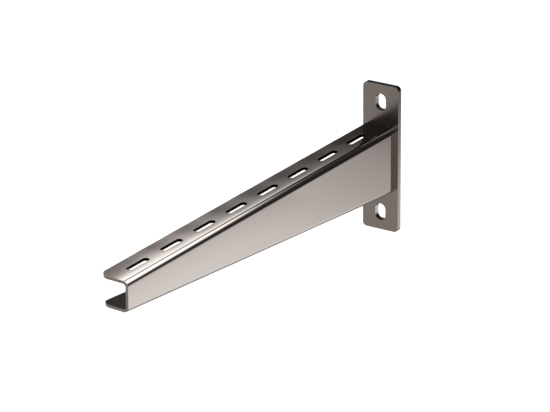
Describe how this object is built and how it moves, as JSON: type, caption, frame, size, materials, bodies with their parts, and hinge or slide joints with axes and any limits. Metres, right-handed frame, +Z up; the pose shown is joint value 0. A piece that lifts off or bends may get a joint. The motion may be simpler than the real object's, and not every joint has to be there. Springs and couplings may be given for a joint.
{
  "type": "cantilever bracket",
  "caption": "Wall bracket for cable trays: a slotted head plate with one tapered arm, folded from sheet as a channel and slotted along its top flange.",
  "frame": {"origin": "on the wall plane, midway between the two wall slots", "axes": "+Z up, +Y into the wall, so the arm reaches along -Y; the web is on the +X side and the channel is open towards -X"},
  "size_m": [0.036, 0.41, 0.136],
  "materials": {
    "plate_steel": "fine brushed",
    "sheet_steel": "bright, cold rolled",
    "weld_steel": "as welded"
  },
  "bodies": {
    "root": {"head_plate": "plate_steel", "arm": "sheet_steel", "weld_top": "weld_steel", "weld_web": "weld_steel", "weld_bottom": "weld_steel"}
  },
  "joints": []
}
